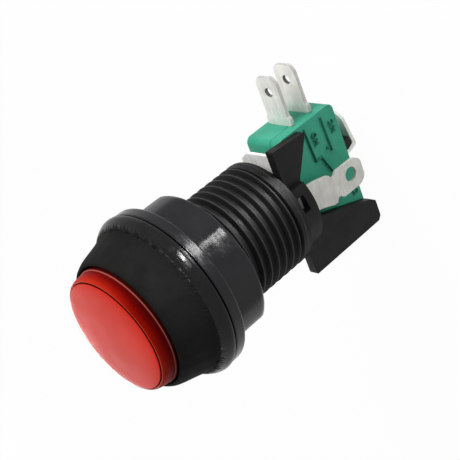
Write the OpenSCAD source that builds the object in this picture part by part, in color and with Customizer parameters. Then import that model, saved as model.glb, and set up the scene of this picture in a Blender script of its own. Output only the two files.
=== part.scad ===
// Illuminated pushbutton with a nut-fixed threaded barrel, a lamp in the
// middle and a snap switch held behind the barrel.
// Frame: the origin is the middle of the bezel's rear seating face, Z runs
// out through the cap, Y points along the switch towards its two end blades,
// and X points to the side that carries the holder's two wings.
// All lengths are in millimetres.

/* [Bezel] */
// outer diameter of the bezel at its seating face
bezel_d = 36.2; // [32:0.2:42]
// height of the bezel's front edge over the seating face
bezel_h = 10.4; // [8:0.2:14]
// height of the smooth band at the bezel's rear
band_h = 2.6; // [1.5:0.1:4]
// diameter of the opening the cap moves in
opening_d = 26.9; // [25:0.1:29]
// width of the front edge around the opening
edge_w = 0.3; // [0.2:0.05:1]

/* [Barrel] */
// outside diameter of the thread
thread_d = 24; // [20:0.5:28]
// distance between thread crests
thread_pitch = 2.1; // [1.5:0.1:3]
// depth of the thread
thread_depth = 0.95; // [0.5:0.05:1.2]
// length of the barrel behind the seating face
barrel_len = 28.9; // [24:0.1:34]
// length of the plain collar at the barrel's rear
collar_len = 2.6; // [1:0.1:4]
// diameter of the bore the plunger slides in
bore_d = 19.56; // [17:0.02:20]

/* [Panel nut] */
// how far the nut's flange stands in from the bezel's edge
flange_in = 0.25; // [0:0.05:1]
// thickness of the nut's flange
flange_t = 2.4; // [1:0.1:4]
// distance across the nut's flats
nut_flats = 30.2; // [28:0.1:34]
// diameter over the nut's rounded corners
nut_corners = 32.1; // [30:0.1:36]
// whole length of the nut
nut_len = 10.7; // [6:0.1:14]
// gap between bezel and nut with the nut run up
nut_gap = 0.33; // [0.1:0.01:2]
// angle of one nut corner about the barrel
nut_turn = 35.7; // [0:0.1:60]

/* [Cap and plunger] */
// diameter of the cap's skirt inside the bezel
cap_d = 26.2; // [24:0.1:28]
// diameter of the cap's front rim
cap_rim_d = 24.9; // [22:0.1:26]
// thickness of the cap's side wall
cap_wall = 1.35; // [0.8:0.05:2]
// how far the cap's rim stands out of the bezel
cap_out = 2.95; // [1:0.05:6]
// rise of the domed face inside the rim
cap_dome = 0.9; // [0:0.1:2]
// how far the cap can be pressed
press_travel = 2.2; // [1:0.1:4]
// outside diameter of the sliding plunger tube
guide_d = 19.4; // [17:0.02:20]
// wall of the sliding plunger tube
guide_wall = 1.3; // [0.8:0.1:2]
// wire diameter of the return spring
spring_wire = 0.7; // [0.4:0.05:1]
// mean diameter of the return spring
spring_d = 13.6; // [12:0.1:15]
// number of turns of the return spring
spring_turns = 7; // [4:1:12]

/* [Switch] */
// length of the switch body along Y
sw_len = 27.8; // [20:0.1:30]
// depth of the switch body along Z
sw_depth = 16.2; // [12:0.1:18]
// thickness of the switch body along X
sw_thick = 9.45; // [8:0.05:11]
// thickness of the switch's cover plate
cover_t = 2.65; // [1:0.05:4]
// free space between barrel and switch body
sw_gap = 3.9; // [3:0.1:8]
// how far the terminal end reaches above the axis
sw_top = 14.64; // [12:0.01:18]
// distance between the holding holes along Y
hole_span_y = 22.2; // [18:0.1:24]
// distance between the holding holes along Z
hole_span_z = 10.3; // [8:0.1:12]
// diameter of the holding holes
hole_d = 3; // [2:0.1:4]
// how far below the axis the actuating pin stands
pin_low = 8; // [7:0.1:9]

/* [Blades and tabs] */
// width of the push-on blades
blade_w = 5.9; // [4:0.1:7]
// thickness of all terminal sheet
blade_t = 0.8; // [0.4:0.05:1]
// length of the two end blades over the switch
blade_len = 10.8; // [8:0.1:14]
// distance from the switch's front to the first end blade
blade_a_at = 6.6; // [5:0.1:8]
// distance between the two end blades
blade_step = 5.3; // [4:0.1:7]
// diameter of the hole in every blade
blade_hole = 2.2; // [1:0.1:3]
// distance of the common blade behind the switch
com_out = 4; // [2.5:0.1:5]
// length of the common blade along Y
com_len = 8.8; // [6:0.1:12]
// width of the two lamp tabs
tab_w = 6.2; // [4:0.1:7]
// length of the side lamp tab behind the barrel
tab_len = 19.1; // [16:0.1:24]
// how far the side lamp tab leans out at its tip
tab_splay = 1.2; // [0.3:0.1:2]
// diameter of the hole in the side lamp tab
tab_hole = 2.7; // [1:0.1:3]
// reach of the top lamp tab above the axis
tab_top_at = 12.8; // [11:0.1:15]
// reach of the top lamp tab past the axis, away from the wings
tab_reach = 3.9; // [3:0.1:6]

/* [Holder] */
// thickness of the holder's wings
wing_t = 2; // [1.2:0.1:3]
// reach of the upper wing above its peg
up_over_y = 2.96; // [2:0.02:5]
// reach of the upper wing behind its peg
up_over_z = 2.9; // [2:0.1:5]
// reach of the lower wing below its peg
low_over_y = 3.64; // [2:0.02:5]
// reach of the lower wing behind its peg
low_over_z = 4.2; // [2:0.1:6]
// length of the pegs inside the switch
peg_len = 3.2; // [2:0.1:5]
// radius of the holder's rounded side block
block_r = 11; // [10:0.1:12]
// depth of the side block behind the barrel
block_depth = 4.2; // [3:0.1:8]

/* [Lamp] */
// diameter of the lamp's base
base_d = 7.9; // [6:0.1:8.4]
// length of the lamp's base
base_len = 8; // [6:0.1:10]
// diameter of the lamp's glass
glass_d = 9.8; // [6:0.1:10]
// length of the lamp's glass
glass_len = 16; // [10:0.5:20]
// wall of the lamp's glass
glass_wall = 0.6; // [0.4:0.1:1]
// distance between the filament's posts
post_span = 3.2; // [2:0.1:5]
// length of the filament's posts
post_len = 6.5; // [4:0.1:9]

/* [Hidden] */

$fn = 96;
eps = 0.01;

// clearances
guide_gap = (bore_d - guide_d) / 2;
seat_gap = 0.05;
slot_gap = 0.04;
lug_gap = 0.1;

// levels along Z
z_rear = -barrel_len;
z_pocket = band_h;
z_rim = bezel_h + cap_out;
z_cap_low = z_pocket + press_travel + 0.6;
z_cap_under = z_rim - 1.5;
z_plate = z_rear - 1.7;
z_seat = z_rear + 2.4;
z_sw = z_rear - sw_gap;
z_sw_rear = z_sw - sw_depth;
z_ledge = z_pocket - 6.6;
z_tube = z_ledge - 7;
z_groove = z_ledge - 4;
z_short = z_rear + 8.9;
z_pin_top = z_sw + press_travel + 0.35;
z_leg = z_pin_top + seat_gap;

// sizes across
r_bezel = bezel_d / 2;
r_open = opening_d / 2;
r_thread = thread_d / 2;
r_root = r_thread - thread_depth;
r_bore = bore_d / 2;
r_guide = guide_d / 2;
r_cap = cap_d / 2;
r_rim = cap_rim_d / 2;
r_cap_in = r_cap - cap_wall;
r_tube_in = r_guide - guide_wall;
r_base = base_d / 2;
r_lamp_bore = r_base + seat_gap;
r_glass = glass_d / 2;
r_socket = max(r_glass + 0.8, r_lamp_bore + 1.7);
flange_d = bezel_d - 2 * flange_in;
r_nut_bore = r_thread + 0.07;

// places on the switch
x_sw1 = block_r - wing_t - 2.85;
x_sw0 = x_sw1 - sw_thick;
x_seam = x_sw1 - cover_t;
x_blade = (x_sw0 + x_sw1) / 2 - 0.35;
x_tab = x_sw1 + wing_t + seat_gap;
y_sw0 = sw_top - sw_len;
y_peg_low = y_sw0 + 2.8;
y_peg_top = y_peg_low + hole_span_y;
z_peg_top = z_sw - 2.9;
z_peg_low = z_peg_top - hole_span_z;
z_blade_a = z_sw - blade_a_at;
z_blade_b = z_blade_a - blade_step;
y_pin = -pin_low;
y_pivot = 1.5;
z_rocker = z_blade_b + 1.95;
y_touch = y_pivot + 4.5;
rocker_t = 0.3;
touch_r = 1.2;
blade_root = 1.8;
y_com_bend = y_pivot + 0.6;
z_com_tip = z_sw_rear - com_out + 1.4;

knuckle_r = 0.5;

// wings, reaching past their pegs
wing_top = y_peg_top + up_over_y;
wing_low = low_over_y - y_peg_low;
wing_short = z_rear - z_peg_top + up_over_z;
wing_long = z_rear - z_peg_low + low_over_z;

// lugs that keep the plunger from turning, and their grooves
lug_r = r_guide + 0.6;
lug_w = 4;
leg_w = 7.2;
lug_len = 2.1;
lug_room = 0.12;
z_groove_end = z_groove - lug_gap - lug_len - press_travel - 0.6;

// middle of the side lamp tab and width of the tabs' tongues
y_tab = 0.5;
tab_aside = 1.1;
z_exit = z_rear - block_depth - 0.2;
tongue_w = tab_w - 1.8;

// outline in the Y Z plane carried along X from x0 over a length
module yz(x0, length) {
  translate([x0, 0, 0])
    rotate([90, 0, 90])
      linear_extrude(length)
        children();
}

// outline in the X Z plane carried along Y from y0 over a length
module xz(y0, length) {
  translate([0, y0 + length, 0])
    rotate([90, 0, 0])
      linear_extrude(length)
        children();
}

// plain block between two corners
module block(a, b) {
  translate(a)
    cube(b - a);
}

// flat shape with rounded corners between two corners
module rounded(a, b, r) {
  translate([a.x + r, a.y])
    square([b.x - a.x - 2 * r, b.y - a.y]);
  translate([a.x, a.y + r])
    square([b.x - a.x, b.y - a.y - 2 * r]);
  for (p = [[a.x + r, a.y + r], [b.x - r, a.y + r],
            [a.x + r, b.y - r], [b.x - r, b.y - r]])
    translate(p)
      circle(r);
}

// tube standing on z between two levels
module tube(r_out, r_in, z0, z1) {
  translate([0, 0, z0])
    difference() {
      cylinder(r = r_out, h = z1 - z0);
      translate([0, 0, -1])
        cylinder(r = r_in, h = z1 - z0 + 2);
    }
}

// flat end of a push-on blade, tip along +Y, its root at y = 0
module blade_flat(w, len, shoulder) {
  difference() {
    union() {
      polygon([[-w / 2, 0], [w / 2, 0], [w / 2, len - 1.5],
               [w / 2 - 1.2, len], [-w / 2 + 1.2, len],
               [-w / 2, len - 1.5]]);
      translate([-w / 2 - 0.5, 0])
        square([w + 1, shoulder]);
    }
    translate([0, len - 3.3])
      circle(d = blade_hole, $fn = 32);
  }
}

// half profile of the bezel's outside, from seating face to front edge: each
// point is a share of the way in to the front edge, and a level
function bezel_point(s, z) = [r_bezel - s * (r_bezel - r_open - edge_w), z];
function on_band(s) = band_h * s;
function on_cone(s) = band_h + (bezel_h - band_h) * s;
function bezel_curve() = [
  bezel_point(0.023, 0),
  bezel_point(0, on_band(0.12)),
  bezel_point(0.012, on_band(0.3)),
  bezel_point(0.05, on_band(0.5)),
  bezel_point(0.115, on_band(0.7)),
  bezel_point(0.195, on_band(0.88)),
  bezel_point(0.276, on_band(1)),
  bezel_point(0.372, on_cone(0.077)),
  bezel_point(0.448, on_cone(0.16)),
  bezel_point(0.517, on_cone(0.282)),
  bezel_point(0.586, on_cone(0.436)),
  bezel_point(0.655, on_cone(0.59)),
  bezel_point(0.724, on_cone(0.731)),
  bezel_point(0.793, on_cone(0.82)),
  bezel_point(0.862, on_cone(0.917)),
  bezel_point(0.931, on_cone(0.974)),
  bezel_point(1, on_cone(1))
];

// half profile of the ringed thread, from the seating face to the collar
crest_half = 0.13;
crest_foot = thread_pitch * 0.36;
first_crest = thread_pitch + 0.5;
crest_count = floor((barrel_len - collar_len - first_crest) / thread_pitch) + 1;
z_last_crest = -first_crest - (crest_count - 1) * thread_pitch;
collar_slope = 0.4;
collar_in = 0.05;
z_collar = z_rear + collar_len - collar_slope;
function crest_front(z) = [[r_root, z + crest_foot], [r_thread, z + crest_half],
                           [r_thread, z - crest_half]];
// rest of the last crest: down to the root, or to where it meets the collar
function last_valley() =
  let (steep = thread_depth / (crest_foot - crest_half),
       rise = (thread_depth - collar_in) / collar_slope,
       room = z_last_crest - crest_half - z_collar,
       run = (collar_in + rise * room) / (steep + rise))
  room > crest_foot - crest_half + collar_slope
    ? [[r_root, z_last_crest - crest_foot], [r_root, z_collar + collar_slope]]
    : [[r_thread - steep * run, z_last_crest - crest_half - run]];
function thread_curve() = concat(
  [for (i = [0 : crest_count - 1])
    let (z = -first_crest - i * thread_pitch)
    each concat(crest_front(z),
                i < crest_count - 1 ? [[r_root, z - crest_foot]] : last_valley())]);

module housing() {
  color([0.16, 0.16, 0.155])
    difference() {
      rotate_extrude()
        polygon(concat(
          [[r_open, bezel_h], [r_open, z_pocket], [r_bore, z_pocket],
           [r_bore, z_rear], [r_thread - collar_in - 0.3, z_rear],
           [r_thread - collar_in, z_rear + 0.3],
           [r_thread - collar_in, z_collar]],
          [for (i = [len(thread_curve()) - 1 : -1 : 0]) thread_curve()[i]],
          [[r_root, 0]],
          bezel_curve()));
      // two grooves keep the plunger from turning and from coming out
      for (s = [-1, 1])
        block([s > 0 ? 0 : -lug_r - lug_room, -lug_w / 2 - lug_room, z_groove_end],
              [s > 0 ? lug_r + lug_room : 0, lug_w / 2 + lug_room, z_groove]);
    }
}

module panel_nut() {
  z0 = -nut_gap;
  zf = z0 - flange_t;
  z1 = z0 - nut_len;
  rc = nut_corners / 2;
  color([0.17, 0.17, 0.19])
    difference() {
      union() {
        rotate_extrude()
          polygon([[0, z0], [flange_d / 2 - 0.3, z0],
                   [flange_d / 2, z0 - 0.3],
                   [flange_d / 2, zf + 0.35],
                   [flange_d / 2 - 0.35, zf],
                   [rc, zf - 0.6], [0, zf - 0.6]]);
        intersection() {
          translate([0, 0, z1])
            rotate([0, 0, nut_turn])
              cylinder(r = nut_flats / 2 / cos(30), h = nut_len - 0.5, $fn = 6);
          rotate_extrude()
            polygon([[0, z0 - 0.4], [rc, z0 - 0.4], [rc, z1 + 1.5],
                     [rc - 0.12, z1 + 0.95], [rc - 0.4, z1 + 0.5],
                     [rc - 0.8, z1 + 0.17], [rc - 1.35, z1],
                     [0, z1]]);
        }
      }
      translate([0, 0, z1 - 1])
        cylinder(r = r_nut_bore, h = nut_len + 2);
      translate([0, 0, z1 - eps])
        cylinder(r1 = r_nut_bore + 0.8, r2 = r_nut_bore, h = 0.8);
    }
}

module cap_lens() {
  n = 10;
  face_r = r_rim - 0.75;
  color([0.84, 0.2, 0.14])
    rotate_extrude()
      polygon(concat(
        [[0, z_cap_under], [r_cap_in, z_cap_under], [r_cap_in, z_cap_low],
         [r_cap - 0.2, z_cap_low], [r_cap, z_cap_low + 0.2],
         [r_cap, bezel_h + 0.15],
         [r_cap - 0.16, bezel_h + 0.5],
         [r_rim + 0.12, z_rim - 0.5],
         [r_rim, z_rim - 0.15], [r_rim - 0.15, z_rim],
         [r_rim - 0.5, z_rim], [face_r, z_rim - 0.22]],
        [for (i = [1 : n])
          [face_r * cos(90 * i / n), z_rim - 0.22 + cap_dome * sin(90 * i / n)]]));
}

// white cup inside the cap, its lower lip resting on the plunger's tube
module diffuser() {
  color([0.93, 0.92, 0.88])
    rotate_extrude()
      polygon([[0, z_cap_under - 1], [r_cap_in - 1.3, z_cap_under - 1],
               [r_cap_in - 1.3, z_cap_low + 1.4], [r_tube_in, z_cap_low + 1.4],
               [r_tube_in, z_cap_low], [r_cap_in - seat_gap, z_cap_low],
               [r_cap_in - seat_gap, z_cap_under], [0, z_cap_under]]);
}

module plunger() {
  color([0.88, 0.87, 0.84])
    difference() {
      union() {
        // sliding tube up to the diffuser's lip
        tube(r_guide, r_tube_in, z_tube, z_cap_low);
        // ledge over the return spring
        tube(r_tube_in + 0.2, r_glass + 1.1, z_ledge, z_ledge + 1.2);
        // lugs in the grooves
        for (s = [-1, 1])
          intersection() {
            tube(lug_r, r_tube_in + 0.3, z_groove - lug_gap - lug_len, z_groove - lug_gap);
            block([s > 0 ? 0 : -2 * r_guide, -lug_w / 2, z_tube],
                  [s > 0 ? 2 * r_guide : 0, lug_w / 2, z_groove + 1]);
          }
        // long leg to the switch and a short one opposite
        intersection() {
          tube(r_guide - 0.1, r_tube_in, z_leg, z_tube + 1);
          block([-leg_w / 2, -2 * r_guide, z_leg], [leg_w / 2, 0, z_tube + 1]);
        }
        intersection() {
          tube(r_guide - 0.1, r_tube_in, z_short, z_tube + 1);
          block([-leg_w / 2, 0, z_short], [leg_w / 2, 2 * r_guide, z_tube + 1]);
        }
        // foot over the switch's pin
        block([x_blade - 2, y_pin - 1.2, z_leg], [x_blade + 2, y_pin + 1.2, z_leg + 1.5]);
      }
    }
}

// flattened cross-section of one spring turn, swept by the twisted extrusion
module spring_slice(pitch) {
  a = 360 * spring_wire / 2 / pitch;
  n = 6;
  polygon(concat(
    [for (i = [0 : n])
      let (t = -a + 2 * a * i / n,
           w = spring_wire / 2 * sqrt(max(0, 1 - pow(t / a, 2))))
      [(spring_d / 2 + w) * cos(t), (spring_d / 2 + w) * sin(t)]],
    [for (i = [n - 1 : -1 : 1])
      let (t = -a + 2 * a * i / n,
           w = spring_wire / 2 * sqrt(max(0, 1 - pow(t / a, 2))))
      [(spring_d / 2 - w) * cos(t), (spring_d / 2 - w) * sin(t)]]));
}

module return_spring() {
  h = z_ledge - z_seat;
  color([0.75, 0.75, 0.76])
    translate([0, 0, z_seat])
      linear_extrude(h, twist = -360 * spring_turns, slices = spring_turns * 24, $fn = 6)
        spring_slice(h / spring_turns);
}

// outline of the upper wing, front edge on the barrel's rear face
module upper_wing() {
  offset(r = 0.3, $fn = 24)
    offset(delta = -0.3)
      polygon([[wing_top, z_rear - 0.25], [wing_top - 0.7, z_rear - wing_short],
               [wing_top - 4.7, z_rear - wing_short + 2.6],
               [6.4, z_rear - 4.6], [5, z_rear - 4.2], [5, z_rear - 0.25]]);
}

// outline of the lower wing
module lower_wing() {
  offset(r = 0.5, $fn = 24)
    offset(delta = -0.5)
      polygon([[-wing_low, z_rear - 0.25], [-wing_low, z_rear - wing_long + 0.8],
               [-wing_low + 0.9, z_rear - wing_long],
               [-wing_low + 4.6, z_rear - wing_long],
               [-wing_low + 5.7, z_rear - wing_long + 1.6],
               [-3.4, z_rear - 5.7], [-2.4, z_rear - 0.25]]);
}

module holder() {
  color([0.15, 0.15, 0.15])
    difference() {
      union() {
        yz(x_sw1, wing_t) upper_wing();
        yz(x_sw1, wing_t) lower_wing();
        // side block with its rounded outer face
        intersection() {
          translate([0, 0, z_rear - block_depth])
            cylinder(r = block_r, h = block_depth);
          block([x_sw1, -8.2, z_rear - block_depth], [block_r + 1, 6, z_rear]);
        }
        // plate behind the barrel
        translate([0, 0, z_plate])
          cylinder(r = r_bore - 0.1, h = z_rear - z_plate);
        // spring seat inside the bore
        translate([0, 0, z_rear - eps])
          cylinder(r = r_bore - 0.06, h = z_seat - z_rear + eps);
        // lamp socket
        translate([0, 0, z_seat - eps])
          cylinder(r = r_socket, h = base_len + 4);
        // pegs into the switch
        for (p = [[y_peg_top, z_peg_top], [y_peg_low, z_peg_low]])
          translate([x_sw1 - peg_len, p[0], p[1]])
            rotate([0, 90, 0])
              cylinder(d = hole_d - 0.1, h = peg_len + wing_t / 2);
      }
      // way for the plunger's long leg
      block([-leg_w / 2 - 0.4, -2 * r_guide, z_plate - 1],
            [leg_w / 2 + 0.4, y_pin + 1.6, z_seat + 1]);
      // bore for the lamp's base and its glass
      translate([0, 0, z_seat - 0.5])
        cylinder(r = r_lamp_bore, h = 2 * base_len);
      translate([0, 0, z_seat + base_len - 0.5])
        cylinder(r = r_glass + 0.15, h = 2 * base_len);
      // slots for the two lamp tabs
      side_tab_slot();
      top_tab_slot();
      // snap window in the side block
      block([block_r - 2.1, 1, z_rear - 2.3], [block_r + 1, 4.3, z_rear - 0.3]);
    }
}

// side view of the side lamp tab: up in the socket, out through the block
// and splayed outwards behind it
module side_tab_path(g) {
  x0 = r_lamp_bore - g;
  x1 = r_lamp_bore + blade_t + g;
  xo = x_tab - g;
  xe = x_tab + blade_t + g;
  z0 = z_plate - blade_t - g;
  z1 = z_plate + g;
  z_up = z_seat + base_len - 1;
  z_bend = z_rear - tab_len + 12.1;
  z_lean = z_rear - tab_len + 8.5;
  z_end = z_rear - tab_len - 0.5;
  polygon([[x0, z_up], [x0, z0], [xo, z0], [xo, z_bend],
           [xo + tab_splay - 0.2, z_lean], [xo + tab_splay, z_end],
           [xe + tab_splay, z_end], [xe + tab_splay - 0.2, z_lean],
           [xe, z_bend], [xe, z1], [x1, z1], [x1, z_up]]);
}

module side_tab_slot() {
  block([r_lamp_bore - slot_gap, y_tab - tongue_w / 2 - slot_gap, z_plate - 1],
        [r_lamp_bore + blade_t + slot_gap, y_tab + tongue_w / 2 + slot_gap,
         z_seat + base_len - 1]);
  intersection() {
    xz(y_tab + tab_aside - tab_w / 2 + 0.1 - slot_gap, tab_w - 0.2 + 2 * slot_gap)
      side_tab_path(slot_gap);
    block([0, y_tab - tab_w, z_rear - 2 * block_depth],
          [2 * block_r, y_tab + tab_w, z_plate + slot_gap]);
  }
}

module lamp_tab_side() {
  w = tab_w / 2;
  zt = z_rear - tab_len;
  // the wide part leaves the block off centre and runs back to the middle
  stem = w - 0.1;
  root = [[tongue_w / 2, z_seat + base_len], [tongue_w / 2, z_plate]];
  top = [[stem + tab_aside, z_plate], [stem + tab_aside, z_exit],
         [w + 0.35, zt + 9.5], [w + 0.1, zt + 8.9]];
  low = [[stem - tab_aside, z_plate], [stem - tab_aside, z_exit],
         [w + 0.2, zt + 9.6], [w + 0.1, zt + 8.9]];
  flag = [[w - 0.8, zt + 8.4], [w - 0.8, zt + 7.8], [w, zt + 6.8],
          [w, zt + 1.7], [w - 1.1, zt]];
  right = concat(root, top, flag);
  left = concat(root, low, flag);
  n = len(left) - 1;
  color([0.8, 0.79, 0.77])
    intersection() {
      xz(-tab_w, 2 * tab_w)
        side_tab_path(0);
      yz(-1, 2 * block_r)
        difference() {
          polygon(concat(
            [for (p = right) [y_tab + p[0], p[1]]],
            [for (i = [n : -1 : 0]) [y_tab - left[i][0], left[i][1]]]));
          translate([y_tab, zt + 3.1])
            circle(d = tab_hole, $fn = 32);
        }
    }
}

// top lamp tab: up in the socket, then flat between barrel and switch
module top_tab_shape(g) {
  w = tongue_w / 2 + g;
  block([-w, r_lamp_bore - g, z_plate - blade_t - g],
        [w, r_lamp_bore + blade_t + g, z_seat + base_len - 1]);
  block([-w, r_lamp_bore - g, z_plate - blade_t - g],
        [w, tab_top_at - tab_w + 1.4, z_plate + g]);
}

module top_tab_slot() {
  top_tab_shape(slot_gap);
}

module lamp_tab_top() {
  y1 = tab_top_at;
  y0 = tab_top_at - tab_w + 0.4;
  color([0.8, 0.79, 0.77])
    union() {
      top_tab_shape(0);
      translate([0, 0, z_plate - blade_t])
        linear_extrude(blade_t)
          difference() {
            polygon([[x_sw1 - 0.1, y0], [x_sw1 - 0.1, y1], [1.9 - tab_reach, y1],
                     [-tab_reach, y1 - 1.5], [-tab_reach, y0 + 1.5],
                     [1.9 - tab_reach, y0]]);
            translate([3.1 - tab_reach, (y0 + y1) / 2])
              circle(d = 2, $fn = 32);
          }
    }
}

module lamp_glass() {
  color([0.9, 0.92, 0.93, 0.5])
    translate([0, 0, z_seat + base_len - 0.5])
      rotate_extrude()
        difference() {
          union() {
            square([r_glass, glass_len - r_glass]);
            translate([0, glass_len - r_glass])
              intersection() {
                circle(r_glass);
                square(r_glass);
              }
          }
          translate([-1, 0.8])
            square([r_glass - glass_wall + 1, glass_len - r_glass - 0.8]);
          translate([0, glass_len - r_glass])
            circle(r_glass - glass_wall);
          translate([-2 * r_glass, -1])
            square([2 * r_glass, glass_len + 2]);
        }
}

module lamp_base() {
  color([0.85, 0.85, 0.83])
    translate([0, 0, z_seat - 0.5])
      cylinder(r = r_base, h = base_len);
}

// two posts and a bowed wire inside the glass
module lamp_filament() {
  zb = z_seat + base_len + 0.3;
  color([0.55, 0.52, 0.48])
    union() {
      for (s = [-1, 1])
        translate([s * post_span / 2, 0, zb])
          cylinder(r = 0.25, h = post_len, $fn = 24);
      translate([0, 0, zb + post_len])
        rotate([90, 0, 0])
          rotate_extrude(angle = 180)
            translate([post_span / 2, 0])
              circle(0.16, $fn = 16);
    }
}

module switch_outline() {
  rounded([y_sw0, z_sw_rear], [sw_top, z_sw], 1.4);
}

module holding_holes(x0, x1) {
  for (p = [[y_peg_top, z_peg_top], [y_peg_low, z_peg_low]])
    translate([x0, p[0], p[1]])
      rotate([0, 90, 0])
        cylinder(d = hole_d, h = x1 - x0);
}

// ways for the three terminals through case and cover
module terminal_ways() {
  w = blade_w / 2 + slot_gap;
  t = blade_t / 2 + slot_gap;
  for (z = [z_blade_a, z_blade_b])
    block([x_blade - w, sw_top - blade_root - slot_gap, z - t], [x_blade + w, sw_top + 1, z + t]);
  block([x_blade - w, y_pivot - t, z_sw_rear - 1],
        [x_blade + w, y_pivot + t, z_sw_rear + blade_root + 2 * slot_gap]);
}

module switch_case() {
  color([0.18, 0.6, 0.45])
    difference() {
      yz(x_sw0, sw_thick - cover_t)
        switch_outline();
      // inside of the case, with a post left round the upper holding hole
      difference() {
        block([x_sw0 + 1.2, y_sw0 + 1.3, z_sw_rear + 1.4], [x_seam + 1, sw_top - 1.4, z_sw - 1.4]);
        translate([x_sw0, y_peg_top, z_peg_top])
          rotate([0, 90, 0])
            cylinder(r = 2.5, h = sw_thick);
      }
      holding_holes(x_sw0 - 1, x_seam + 1);
      // way for the pin
      translate([x_blade, y_pin, z_sw - 3])
        cylinder(r = 1.75, h = 4);
      terminal_ways();
    }
}

module switch_cover() {
  color([0.2, 0.62, 0.47])
    difference() {
      yz(x_seam, cover_t)
        switch_outline();
      holding_holes(x_seam - 1, x_sw1 + 1);
      terminal_ways();
    }
}

module switch_pin() {
  z0 = z_rocker + rocker_t / 2 + 0.06;
  color([0.85, 0.84, 0.8])
    translate([x_blade, y_pin, 0])
      rotate_extrude()
        polygon(concat(
          [[0, z_pin_top], [1.4, z_pin_top], [1.7, z_pin_top - 0.3], [1.7, z_sw - 5],
           [1, z_sw - 5.4]],
          [for (i = [0 : 5]) [cos(18 * i), z0 + 1 - sin(18 * i)]]));
}

// strip with a round knuckle that lies in the common terminal's groove
module rocker() {
  x0 = x_blade - 1.6;
  z0 = z_rocker - rocker_t / 2;
  color([0.78, 0.6, 0.35])
    difference() {
      union() {
        block([x0, y_pin - 0.9, z0], [x0 + 3.2, y_touch + 1.4, z0 + rocker_t]);
        translate([x0, y_pivot, z_rocker])
          rotate([0, 90, 0])
            cylinder(r = knuckle_r, h = 3.2);
      }
      translate([x_blade, y_touch, z0 - 1])
        cylinder(r = 0.6, h = 3, $fn = 32);
    }
}

module moving_contact() {
  color([0.82, 0.82, 0.8])
    translate([x_blade, y_touch, z_rocker])
      union() {
        translate([0, 0, rocker_t / 2])
          cylinder(r = touch_r, h = 0.3);
        translate([0, 0, -rocker_t / 2 - 0.3])
          cylinder(r = touch_r, h = 0.3);
        translate([0, 0, -0.3])
          cylinder(r = 0.58, h = 0.6);
      }
}

// one end blade with its tongue running down inside the case
module end_blade(z) {
  translate([x_blade, sw_top, z + blade_t / 2])
    mirror([0, 0, 1])
      linear_extrude(blade_t)
        union() {
          blade_flat(blade_w, blade_len, 2.1);
          translate([-blade_w / 2, -blade_root])
            square([blade_w, blade_root]);
          translate([-1.9, y_touch - 1.5 - sw_top])
            square([3.8, sw_top - y_touch + 0.5]);
        }
}

module blade_no() {
  color([0.8, 0.79, 0.77])
    end_blade(z_blade_a);
}

module blade_nc() {
  color([0.8, 0.79, 0.77])
    end_blade(z_blade_b);
}

module contact_no() {
  z1 = z_blade_a - blade_t / 2;
  z0 = z_rocker + 1.85;
  color([0.82, 0.82, 0.8])
    translate([x_blade, y_touch, z0])
      cylinder(r = touch_r, h = z1 - z0);
}

module contact_nc() {
  z0 = z_blade_b + blade_t / 2;
  z1 = z_rocker - rocker_t / 2 - 0.35;
  color([0.82, 0.82, 0.8])
    translate([x_blade, y_touch, z0])
      cylinder(r = touch_r, h = z1 - z0);
}

// common terminal: inside post with a groove for the rocker's knuckle, out of
// the rear wall, then bent along Y
// side view (y, z) of the common terminal outside the case: out, bent over
// the boss and back along the case with a slight lean towards it
module com_side() {
  t = blade_t;
  h = t / 2;
  zo = z_sw_rear - com_out;
  z_slant = zo + 1.7;
  polygon([[y_pivot - h, z_sw_rear + blade_root], [y_pivot - h, z_slant],
           [y_com_bend - h, zo - t + 0.25], [y_com_bend + 0.15, zo - t],
           [y_pivot + com_len + h, z_com_tip - t], [y_pivot + com_len + h, z_com_tip],
           [y_com_bend + t + 0.1, zo + 0.12], [y_com_bend + h + 0.05, zo + 0.3],
           [y_pivot + h, z_slant], [y_pivot + h, z_sw_rear + blade_root]]);
}

module terminal_com() {
  w = blade_w / 2;
  color([0.8, 0.79, 0.77])
    difference() {
      union() {
        block([x_blade - 1.9, y_pivot - blade_t / 2, z_sw_rear],
              [x_blade + 1.9, y_pivot + blade_t / 2, z_rocker - 0.3]);
        intersection() {
          yz(x_blade - w, blade_w)
            com_side();
          translate([x_blade, y_pivot, z_sw_rear - 2 * com_out])
            linear_extrude(3 * com_out)
              union() {
                blade_flat(blade_w, com_len, 0.5);
                translate([-w, -blade_t])
                  square([blade_w, 2 * blade_t]);
              }
        }
      }
      translate([x_blade - 3, y_pivot, z_rocker])
        rotate([0, 90, 0])
          cylinder(r = knuckle_r + seat_gap, h = 6);
    }
}

// black sealing round the common terminal, with the boss under its bend
module com_seal() {
  y0 = y_pivot + blade_t / 2 + seat_gap;
  zo = z_sw_rear - com_out;
  color([0.08, 0.08, 0.08])
    union() {
      difference() {
        block([x_blade - 3, y_pivot - 1.6, z_sw_rear - 0.8],
              [x_blade + 3, y_pivot + 1.6, z_sw_rear]);
        block([x_blade - blade_w / 2, y_pivot - blade_t / 2, z_sw_rear - 2],
              [x_blade + blade_w / 2, y_pivot + blade_t / 2, z_sw_rear + 1]);
      }
      yz(x_blade - 2.9, 5.8)
        polygon([[y0, z_sw_rear], [y0, zo + 1.7], [y0 + 0.62, zo + 0.45],
                 [y0 + 2.4, zo + 0.75], [y0 + 2.4, z_sw_rear]]);
    }
}

cap_lens();
diffuser();
plunger();
return_spring();
housing();
panel_nut();
holder();
lamp_glass();
lamp_base();
lamp_filament();
lamp_tab_side();
lamp_tab_top();
switch_case();
switch_cover();
switch_pin();
rocker();
moving_contact();
blade_no();
blade_nc();
contact_no();
contact_nc();
terminal_com();
com_seal();
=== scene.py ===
"""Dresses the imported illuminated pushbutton: textured bezel, threaded barrel,
panel nut, translucent cap, snap switch, terminals, spring and lamp parts.
Shapes are worked out in millimetres and kept in metres. Materials, the
camera and the lamps are in metres."""
import math

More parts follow.
